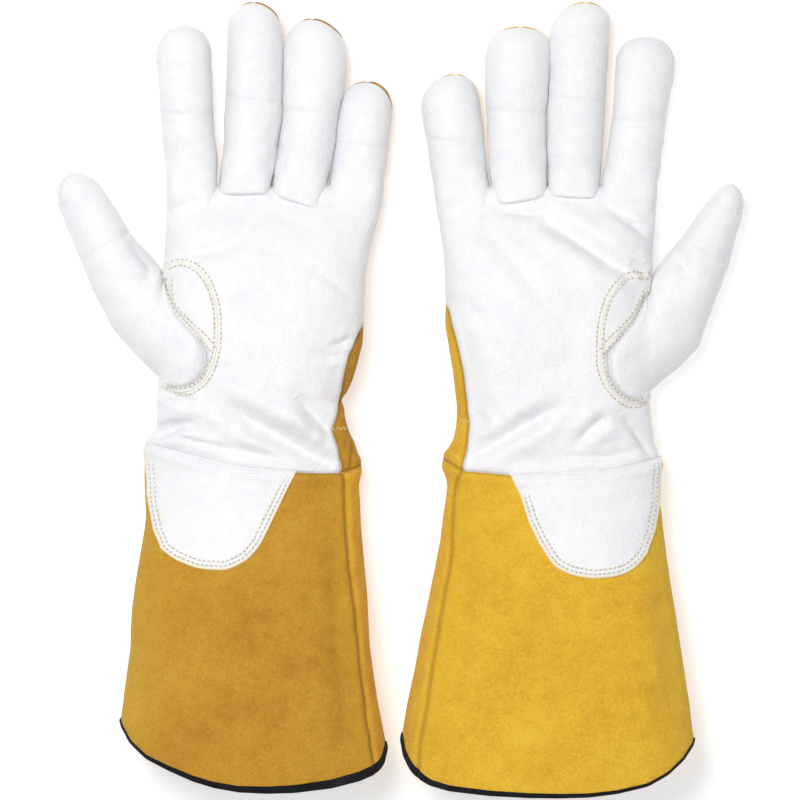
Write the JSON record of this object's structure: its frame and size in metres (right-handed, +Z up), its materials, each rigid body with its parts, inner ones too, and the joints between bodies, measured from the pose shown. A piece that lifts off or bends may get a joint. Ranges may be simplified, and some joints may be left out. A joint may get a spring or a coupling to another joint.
{
  "type": "welding gloves",
  "caption": "Pair of gauntlet welding gloves: white goatskin palms, gold split-suede backs and cuffs, sewn heel patches, thumb gussets and black bound hems.",
  "frame": {"origin": "the middle of the pair's footprint on the surface that it lies on", "axes": "+Z up, out of the palms; +Y from cuffs to fingertips; +X to the right glove's thumb"},
  "size_m": [0.327, 0.3772, 0.0655],
  "materials": {
    "white_goatskin": "fine pebbled grain, soft satin",
    "gold_suede": "napped split suede, matte",
    "black_binding": "ribbed binding tape, matte",
    "cream_thread": "waxed aramid thread",
    "elastic": "woven elastic band"
  },
  "bodies": {
    "left_hand": {"left_palm_panel": "white_goatskin", "left_back_panel": "gold_suede", "left_thumb_gusset": "white_goatskin", "left_gusset_stitching": "cream_thread", "left_wrist_elastic": "elastic"},
    "left_cuff": {"left_cuff_front_panel": "gold_suede", "left_cuff_back_panel": "gold_suede", "left_cuff_seam_welt": "gold_suede", "left_hem_binding": "black_binding", "left_heel_patch": "white_goatskin", "left_patch_stitching": "cream_thread"},
    "left_index_base": {"left_index_base_sleeve": "white_goatskin"},
    "left_index_tip": {"left_index_tip_sleeve": "white_goatskin"},
    "left_middle_base": {"left_middle_base_front": "white_goatskin", "left_middle_base_back": "gold_suede"},
    "left_middle_tip": {"left_middle_tip_front": "white_goatskin", "left_middle_tip_back": "gold_suede"},
    "left_ring_base": {"left_ring_base_front": "white_goatskin", "left_ring_base_back": "gold_suede"},
    "left_ring_tip": {"left_ring_tip_front": "white_goatskin", "left_ring_tip_back": "gold_suede"},
    "left_little_base": {"left_little_base_front": "white_goatskin", "left_little_base_back": "gold_suede"},
    "left_little_tip": {"left_little_tip_front": "white_goatskin", "left_little_tip_back": "gold_suede"},
    "left_thumb_base": {"left_thumb_base_sleeve": "white_goatskin"},
    "left_thumb_tip": {"left_thumb_tip_sleeve": "white_goatskin"},
    "right_hand": {"right_palm_panel": "white_goatskin", "right_back_panel": "gold_suede", "right_thumb_gusset": "white_goatskin", "right_gusset_stitching": "cream_thread", "right_wrist_elastic": "elastic"},
    "right_cuff": {"right_cuff_front_panel": "gold_suede", "right_cuff_back_panel": "gold_suede", "right_cuff_seam_welt": "gold_suede", "right_hem_binding": "black_binding", "right_heel_patch": "white_goatskin", "right_patch_stitching": "cream_thread"},
    "right_index_base": {"right_index_base_sleeve": "white_goatskin"},
    "right_index_tip": {"right_index_tip_sleeve": "white_goatskin"},
    "right_middle_base": {"right_middle_base_front": "white_goatskin", "right_middle_base_back": "gold_suede"},
    "right_middle_tip": {"right_middle_tip_front": "white_goatskin", "right_middle_tip_back": "gold_suede"},
    "right_ring_base": {"right_ring_base_front": "white_goatskin", "right_ring_base_back": "gold_suede"},
    "right_ring_tip": {"right_ring_tip_front": "white_goatskin", "right_ring_tip_back": "gold_suede"},
    "right_little_base": {"right_little_base_front": "white_goatskin", "right_little_base_back": "gold_suede"},
    "right_little_tip": {"right_little_tip_front": "white_goatskin", "right_little_tip_back": "gold_suede"},
    "right_thumb_base": {"right_thumb_base_sleeve": "white_goatskin"},
    "right_thumb_tip": {"right_thumb_tip_sleeve": "white_goatskin"}
  },
  "joints": [
    {"name": "left_wrist_fold", "type": "hinge", "parent": "left_hand", "child": "left_cuff", "pos_m": [-0.06994, -0.03277, 0.028], "axis": [-1, 0, 0], "range_deg": [0, 45]},
    {"name": "left_index_knuckle", "type": "hinge", "parent": "left_hand", "child": "left_index_base", "pos_m": [-0.09918, 0.09452, 0.017], "axis": [1, 0, 0], "range_deg": [0, 75]},
    {"name": "left_index_middle_joint", "type": "hinge", "parent": "left_index_base", "child": "left_index_tip", "pos_m": [-0.10149, 0.13537, 0.017], "axis": [1, 0, 0], "range_deg": [0, 75]},
    {"name": "left_middle_knuckle", "type": "hinge", "parent": "left_hand", "child": "left_middle_base", "pos_m": [-0.07458, 0.09452, 0.017], "axis": [1, 0, 0], "range_deg": [0, 75]},
    {"name": "left_middle_middle_joint", "type": "hinge", "parent": "left_middle_base", "child": "left_middle_tip", "pos_m": [-0.06944, 0.14203, 0.017], "axis": [1, 0, 0], "range_deg": [0, 75]},
    {"name": "left_ring_knuckle", "type": "hinge", "parent": "left_hand", "child": "left_ring_base", "pos_m": [-0.04893, 0.09452, 0.017], "axis": [1, 0, 0], "range_deg": [0, 75]},
    {"name": "left_ring_middle_joint", "type": "hinge", "parent": "left_ring_base", "child": "left_ring_tip", "pos_m": [-0.04227, 0.13633, 0.017], "axis": [1, 0, 0], "range_deg": [0, 75]},
    {"name": "left_little_knuckle", "type": "hinge", "parent": "left_hand", "child": "left_little_base", "pos_m": [-0.02218, 0.09452, 0.017], "axis": [1, 0, 0], "range_deg": [0, 75]},
    {"name": "left_little_middle_joint", "type": "hinge", "parent": "left_little_base", "child": "left_little_tip", "pos_m": [-0.01784, 0.12065, 0.017], "axis": [1, 0, 0], "range_deg": [0, 75]},
    {"name": "left_thumb_root", "type": "hinge", "parent": "left_hand", "child": "left_thumb_base", "pos_m": [-0.11257, 0.0361, 0.025], "axis": [0, 1, 0], "range_deg": [0, 50]},
    {"name": "left_thumb_joint", "type": "hinge", "parent": "left_thumb_base", "child": "left_thumb_tip", "pos_m": [-0.13989, 0.07268, 0.02], "axis": [0.8529, 0.5222, 0], "range_deg": [0, 45]},
    {"name": "right_wrist_fold", "type": "hinge", "parent": "right_hand", "child": "right_cuff", "pos_m": [0.07256, -0.03277, 0.028], "axis": [-1, 0, 0], "range_deg": [0, 45]},
    {"name": "right_index_knuckle", "type": "hinge", "parent": "right_hand", "child": "right_index_base", "pos_m": [0.10889, 0.09452, 0.017], "axis": [1, 0, 0], "range_deg": [0, 75]},
    {"name": "right_index_middle_joint", "type": "hinge", "parent": "right_index_base", "child": "right_index_tip", "pos_m": [0.11325, 0.13157, 0.017], "axis": [1, 0, 0], "range_deg": [0, 75]},
    {"name": "right_middle_knuckle", "type": "hinge", "parent": "right_hand", "child": "right_middle_base", "pos_m": [0.08265, 0.09452, 0.017], "axis": [1, 0, 0], "range_deg": [0, 75]},
    {"name": "right_middle_middle_joint", "type": "hinge", "parent": "right_middle_base", "child": "right_middle_tip", "pos_m": [0.0843, 0.14203, 0.017], "axis": [1, 0, 0], "range_deg": [0, 75]},
    {"name": "right_ring_knuckle", "type": "hinge", "parent": "right_hand", "child": "right_ring_base", "pos_m": [0.05712, 0.09452, 0.017], "axis": [1, 0, 0], "range_deg": [0, 75]},
    {"name": "right_ring_middle_joint", "type": "hinge", "parent": "right_ring_base", "child": "right_ring_tip", "pos_m": [0.05526, 0.13633, 0.017], "axis": [1, 0, 0], "range_deg": [0, 75]},
    {"name": "right_little_knuckle", "type": "hinge", "parent": "right_hand", "child": "right_little_base", "pos_m": [0.03009, 0.09452, 0.017], "axis": [1, 0, 0], "range_deg": [0, 75]},
    {"name": "right_little_middle_joint", "type": "hinge", "parent": "right_little_base", "child": "right_little_tip", "pos_m": [0.0264, 0.12255, 0.017], "axis": [1, 0, 0], "range_deg": [0, 75]},
    {"name": "right_thumb_root", "type": "hinge", "parent": "right_hand", "child": "right_thumb_base", "pos_m": [0.11922, 0.03182, 0.025], "axis": [0, -1, 0], "range_deg": [0, 50]},
    {"name": "right_thumb_joint", "type": "hinge", "parent": "right_thumb_base", "child": "right_thumb_tip", "pos_m": [0.14583, 0.07172, 0.02], "axis": [0.8542, -0.5199, 0], "range_deg": [0, 45]},
    {"name": "gloves_apart", "type": "slide", "parent": "left_hand", "child": "right_hand", "axis": [1, 0, 0], "range_m": [0, 0.15]}
  ]
}
